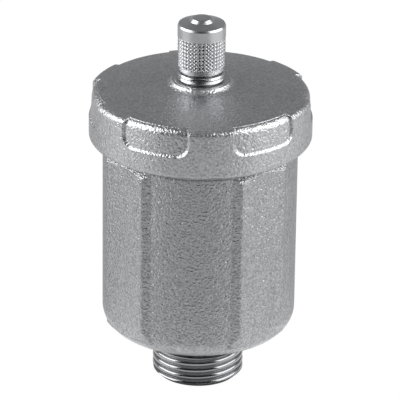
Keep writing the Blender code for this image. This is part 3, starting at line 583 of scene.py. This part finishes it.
for step in range(1, PAD_SLICES):
    bpy.ops.mesh.select_all(action="SELECT")
    along = (2 * step / PAD_SLICES - 1.0) * (PAD_HALF + POCKET_REACH)
    bpy.ops.mesh.bisect(plane_co=(along * MM, 0.0, 0.0), plane_no=(1.0, 0.0, 0.0))
bpy.ops.object.mode_set(mode="OBJECT")
bend = pocket.modifiers.new("Bend", "SIMPLE_DEFORM")
bend.deform_method = "BEND"
bend.deform_axis = "Z"
bend.angle = 2 * (PAD_HALF + POCKET_REACH) / PAD_R
bpy.ops.object.modifier_apply(modifier="Bend")
pocket.location = (0.0, -PAD_R * MM, 0.0)
settle()
copies = []
for count in range(PAD_COUNT):
    copy = pocket.copy()
    copy.data = pocket.data.copy()
    bpy.context.scene.collection.objects.link(copy)
    copy.rotation_euler = (0.0, 0.0, math.radians(PAD_TURN + 360.0 / PAD_COUNT * count))
    copies.append(copy)
bpy.data.objects.remove(pocket, do_unlink=True)
leave_edit()
for copy in copies:
    copy.select_set(True)
bpy.context.view_layer.objects.active = copies[0]
bpy.ops.object.join()
pockets = named("pad_pockets")
settle(turned_too=True)
core_line = [(0.0, 40.0), (PAD_R, 40.0), (PAD_R, PAD_FOOT_Z)]
core_line += arc(PAD_TOP_R - 1.3, EDGE_Z - 1.2, 1.3, 4.0, 80.0, 12)
core_line += [(PAD_TOP_R - 1.12, 58.0), (0.0, 58.0)]
combine(pockets, turned("pad_core", core_line, 240), "DIFFERENCE")
combine(cover, pockets, "DIFFERENCE")

# Blind holes for the bracket's screws
for side in (-1, 1):
    leave_edit()
    bpy.ops.mesh.primitive_cylinder_add(
        vertices=32, radius=SCREW_HOLE_R * MM, depth=3.7 * MM,
        location=(0.0, side * SCREW_Y * MM, (ROOF_Z + 0.65) * MM),
    )
    hole = named("screw_hole")
    settle()
    bpy.ops.object.mode_set(mode="EDIT")
    pick("EDGE", lambda middle, along: middle.z > ROOF_Z + 2.4)
    bpy.ops.mesh.bevel(offset=0.3 * MM, offset_type="OFFSET", segments=2)
    bpy.ops.object.mode_set(mode="OBJECT")
    combine(cover, hole, "DIFFERENCE")
smooth(cover)
cover.data.materials.clear()
cover.data.materials.append(blasted_nickel("blasted_cover_plate", 0.46, 0.7, 0.14))
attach(cover, "housing")
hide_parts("cover")

# Discharge nozzle. Turned brass with bright nickel; its grooved collar sits on the cover's boss
# and its stub carries the vent cap.
NOZZLE_BORE_R = 0.9
SEAT_Z = ROOF_Z - 0.6
SHANK_R = 3.3
RING_GROOVE_R = 2.4
RING_GROOVE_Z = 56.25
COLLAR_R = 4.25
COLLAR_GROOVE_R = 3.85
COLLAR_Z = BOSS_Z + 0.3
STUB_R = 2.9
STUB_TOP_Z = 65.35
nozzle_line = [
    (NOZZLE_BORE_R, SEAT_Z), (1.5, SEAT_Z), (RING_GROOVE_R, SEAT_Z + 0.4),
    (RING_GROOVE_R, ROOF_Z + 0.3), (SHANK_R, ROOF_Z + 0.6), (SHANK_R, RING_GROOVE_Z),
    (RING_GROOVE_R, RING_GROOVE_Z), (RING_GROOVE_R, RING_GROOVE_Z + 1.1),
    (SHANK_R, RING_GROOVE_Z + 1.1), (SHANK_R, COLLAR_Z),
    *arc(COLLAR_R - 0.12, COLLAR_Z + 0.12, 0.12, -90.0, 10.0, 4),
    (COLLAR_R - 0.2, COLLAR_Z + 0.55), (COLLAR_GROOVE_R, COLLAR_Z + 0.58),
    (COLLAR_GROOVE_R, COLLAR_Z + 0.68),
    *arc(COLLAR_R - 0.12, COLLAR_Z + 0.8, 0.12, -90.0, 20.0, 4),
    (COLLAR_R - 0.17, COLLAR_Z + 1.2), (COLLAR_R - 0.25, COLLAR_Z + 1.25),
    (STUB_R, COLLAR_Z + 1.25), (STUB_R, STUB_TOP_Z - 0.3), (STUB_R - 0.3, STUB_TOP_Z),
    (NOZZLE_BORE_R, STUB_TOP_Z), (NOZZLE_BORE_R, SEAT_Z),
]
nozzle = turned("dressed_nozzle", nozzle_line, 128)
grooved = bright_nickel("finely_grooved_plate", 0.56, 0.06)
nozzle.data.materials.append(grooved)
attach(nozzle, "housing")
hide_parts("discharge_nozzle")

# Vent cap. Turned brass with bright nickel, a diamond knurl between two plain bands and a round
# nub on top. It screws on the nozzle's stub.
CAP_R = 4.33
CAP_BORE_R = 3.2
CAP_ROOF_Z = 66.55
CAP_Z = 59.8
CAP_TOP = 68.65
KNURL_LOW = 60.8
KNURL_HIGH = 66.3
KNURL_ROOT = 4.2
KNURL_INNER_R = 3.7
KNURL_COLUMNS = 36
KNURL_ROWS = 8
cap_line = [
    (0.0, CAP_ROOF_Z), (CAP_BORE_R, CAP_ROOF_Z), (CAP_BORE_R, CAP_Z + 0.2), (3.4, CAP_Z),
    (CAP_R - 0.35, CAP_Z), (CAP_R - 0.08, CAP_Z + 0.3), (CAP_R, CAP_Z + 0.45),
    (CAP_R, KNURL_LOW - 0.02), (KNURL_ROOT - 0.1, KNURL_LOW + 0.08),
    (KNURL_ROOT - 0.1, KNURL_HIGH - 0.08), (CAP_R, KNURL_HIGH + 0.02), (CAP_R, CAP_TOP - 0.38),
    (CAP_R - 0.18, CAP_TOP - 0.03), (CAP_R - 0.24, CAP_TOP), (2.45, CAP_TOP + 0.38),
    (2.22, CAP_TOP + 0.46), *arc(1.5, CAP_TOP + 0.65, 0.4, 40.0, 85.0, 5),
    (0.9, CAP_TOP + 1.04), (0.0, CAP_TOP + 1.05),
]
cap = turned("dressed_vent_cap", cap_line, 160)

# The knurl: a sleeve of diamonds, each raised to a point
knurl_middle = (0.0, 0.0, (KNURL_HIGH + KNURL_LOW) / 2 * MM)
leave_edit()
bpy.ops.mesh.primitive_cylinder_add(
    vertices=KNURL_COLUMNS, radius=KNURL_ROOT * MM, depth=(KNURL_HIGH - KNURL_LOW) * MM,
    location=knurl_middle, end_fill_type="NOTHING",
)
knurl = named("knurl_sleeve")
settle()
bpy.ops.object.mode_set(mode="EDIT")
for step in range(1, KNURL_ROWS):
    bpy.ops.mesh.select_all(action="SELECT")
    height = KNURL_LOW + (KNURL_HIGH - KNURL_LOW) * step / KNURL_ROWS
    bpy.ops.mesh.bisect(plane_co=(0.0, 0.0, height * MM), plane_no=(0.0, 0.0, 1.0))
bpy.ops.mesh.select_all(action="SELECT")
bpy.ops.mesh.poke()
pick(
    "EDGE",
    lambda middle, along: KNURL_LOW + 0.05 < middle.z < KNURL_HIGH - 0.05
    and (abs(along.z) < 0.02 or abs(along.z) > 0.98),
)
bpy.ops.mesh.dissolve_edges(use_verts=False)
bpy.ops.mesh.select_mode(type="FACE")
bpy.ops.mesh.select_all(action="SELECT")
bpy.ops.mesh.inset(thickness=0.03 * MM, depth=0.0, use_individual=True)
bpy.ops.mesh.inset(thickness=0.1 * MM, depth=0.065 * MM, use_individual=True)
bpy.ops.mesh.poke(offset=0.03 * MM)
pick("EDGE", lambda middle, along: not KNURL_LOW + 0.01 < middle.z < KNURL_HIGH - 0.01)
bpy.ops.mesh.extrude_region_move(TRANSFORM_OT_translate={"value": (0.0, 0.0, 0.0)})
shrink = KNURL_INNER_R / KNURL_ROOT
bpy.ops.transform.resize(value=(shrink, shrink, 1.0), center_override=knurl_middle)
bpy.ops.mesh.bridge_edge_loops()
face_outwards()
combine(cap, knurl, "UNION")
smooth(cap, 20.0)
cap.data.materials.clear()
cap.data.materials.append(bright_nickel("bright_cap_plate", 0.57, 0.008, 0.24, 0.34))
cap.data.materials.append(grooved)
cap.data.materials.append(bright_nickel("bright_knurl_plate", 0.47, 0.003))
for face in cap.data.polygons:
    height = face.center.z / MM
    face.material_index = 1 if height < KNURL_LOW else 2 if height < KNURL_HIGH else 0
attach(cap, "cap")
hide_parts("vent_cap")

# Floor. A pale sheet with a painted glow: painted shadow right under the valve, where the body
# would shade it, painted light close round it and at both sides, and plain white to the camera.
FLOOR_WHITE = 1.03


def spread(tree, value, low, high, least, most):
    """A smooth step of a value between two limits."""
    node = tree.nodes.new("ShaderNodeMapRange")
    node.interpolation_type = "SMOOTHSTEP"
    tree.links.new(value, node.inputs["Value"])
    for name, number in zip(("From Min", "From Max", "To Min", "To Max"), (low, high, least, most)):
        node.inputs[name].default_value = number
    return node


def mixed(tree, factor, first, second, output):
    """Mix two shaders into a tree's output."""
    node = tree.nodes.new("ShaderNodeMixShader")
    if isinstance(factor, float):
        node.inputs["Fac"].default_value = factor
    else:
        tree.links.new(factor, node.inputs["Fac"])
    tree.links.new(first, node.inputs[1])
    tree.links.new(second, node.inputs[2])
    tree.links.new(node.outputs["Shader"], tree.nodes[output].inputs["Surface"])


leave_edit()
bpy.ops.mesh.primitive_plane_add(size=6.0, location=(0.0, 0.0, 0.0))
floor = named("studio_floor")
floor_look, tree, shader = new_material("pale_floor", 0.0)
grain = effect(tree, handling, Cloud_mm=60.0, Least=0.86, Most=0.9)
tree.links.new(grain["Value"], shader.inputs["Base Color"])
shader.inputs["Roughness"].default_value = 0.9
shader.inputs["Specular IOR Level"].default_value = 0.1
spot = millimetres(tree, 1.0)
reach = tree.nodes.new("ShaderNodeVectorMath")
reach.operation = "LENGTH"
tree.links.new(spot, reach.inputs[0])
reach = reach.outputs["Value"]
across = split_node(tree, spot)
aside = math_node(tree, "ADD", math_node(tree, "DIVIDE", across["X"], reach), 0.06)
ahead = math_node(tree, "MULTIPLY", math_node(tree, "DIVIDE", across["Y"], reach), 0.18)
aside = math_node(tree, "SUBTRACT", math_node(tree, "ABSOLUTE", aside), ahead)
# Painted light on the floor: painted pools close round the valve and at both sides, and a painted
# shadow right under it where the body would shade it.
painted_pool_near = spread(tree, reach, 20.0, 44.0, 0.85, 0.5).outputs["Result"]
sides = spread(tree, aside, 0.78, 0.94, 0.0, 0.3).outputs["Result"]
painted_shadow_under = spread(tree, reach, 8.5, 12.5, 0.12, 1.0).outputs["Result"]
painted_floor_light = math_node(tree, "MULTIPLY", math_node(tree, "ADD", painted_pool_near, sides), painted_shadow_under)
path = tree.nodes.new("ShaderNodeLightPath")
missing = math_node(tree, "SUBTRACT", FLOOR_WHITE, painted_floor_light)
seen = math_node(tree, "MULTIPLY", path.outputs["Is Camera Ray"], missing)
glow = tree.nodes.new("ShaderNodeEmission")
tree.links.new(math_node(tree, "ADD", painted_floor_light, seen), glow.inputs["Strength"])
mixed(tree, 0.94, shader.outputs["BSDF"], glow.outputs["Emission"], "Material Output")
floor.data.materials.append(floor_look)

# Studio. A surround that is dim in front, lighter behind and overhead, and white to the camera,
# with a tall softbox at each side.
world = bpy.data.worlds.new("studio")
bpy.context.scene.world = world
world.use_nodes = True
tree = world.node_tree
place = tree.nodes.new("ShaderNodeTexCoord")
split = split_node(tree, place.outputs["Generated"])
behind = spread(tree, split["Y"], -0.35, 0.35, 0.015, 0.28)
overhead = spread(tree, split["Z"], 0.6, 0.85, 0.0, 0.16)
tree.links.new(behind.outputs["Result"], overhead.inputs["To Min"])
surround = tree.nodes["Background"]
white = tree.nodes.new("ShaderNodeBackground")
for background in (surround, white):
    background.inputs["Color"].default_value = (1.0, 1.0, 1.0, 1.0)
white.inputs["Strength"].default_value = 1.0
tree.links.new(overhead.outputs["Result"], surround.inputs["Strength"])
path = tree.nodes.new("ShaderNodeLightPath")
mixed(
    tree, path.outputs["Is Camera Ray"], surround.outputs["Background"],
    white.outputs["Background"], "World Output",
)

BOX_DISTANCE = 0.6
BOX_HEIGHT = 0.4
BOX_WIDTH = 0.78
BOX_TALL = 0.7
VALVE_MIDDLE = Vector((0.0, 0.0, 0.035))


def softbox(turn, watts):
    """A rectangular light at a bearing from the camera's side, aimed at the valve."""
    leave_edit()
    bearing = math.radians(turn)
    across, away = math.sin(bearing) * BOX_DISTANCE, -math.cos(bearing) * BOX_DISTANCE
    spot = Vector((across, away, BOX_HEIGHT))
    aim = (VALVE_MIDDLE - spot).to_track_quat("-Z", "Y")
    bpy.ops.object.light_add(type="AREA", location=spot, rotation=aim.to_euler())
    light = bpy.context.object.data
    light.shape = "RECTANGLE"
    light.size = BOX_WIDTH
    light.size_y = BOX_TALL
    light.energy = watts


softbox(-86.0, 5.4)
softbox(78.0, 4.9)
bpy.context.scene.view_settings.view_transform = "Standard"
bpy.context.scene.view_settings.look = "None"

# Camera. It stands where the photograph was taken from: straight in front and tilted down, with
# a long lens, turned very slightly in its own plane.
CAMERA_TILT = math.radians(24.121)
CAMERA_ROLL = math.radians(0.729)
CAMERA_DISTANCE = 0.64046
CAMERA_AIM_Z = 0.034132
lens = bpy.data.cameras.new("photo_camera")
lens.lens = 316.96
lens.sensor_width = 36.0
lens.shift_x = 0.00088
lens.clip_start = 0.01
camera = bpy.data.objects.new("photo_camera", lens)
bpy.context.scene.collection.objects.link(camera)
away = -CAMERA_DISTANCE * math.cos(CAMERA_TILT)
up = CAMERA_AIM_Z + CAMERA_DISTANCE * math.sin(CAMERA_TILT)
look = Matrix.Rotation(math.radians(90.0) - CAMERA_TILT, 4, "X")
look = look @ Matrix.Rotation(CAMERA_ROLL, 4, "Z")
camera.matrix_world = Matrix.Translation(Vector((0.0, away, up))) @ look
bpy.context.scene.camera = camera

leave_edit()
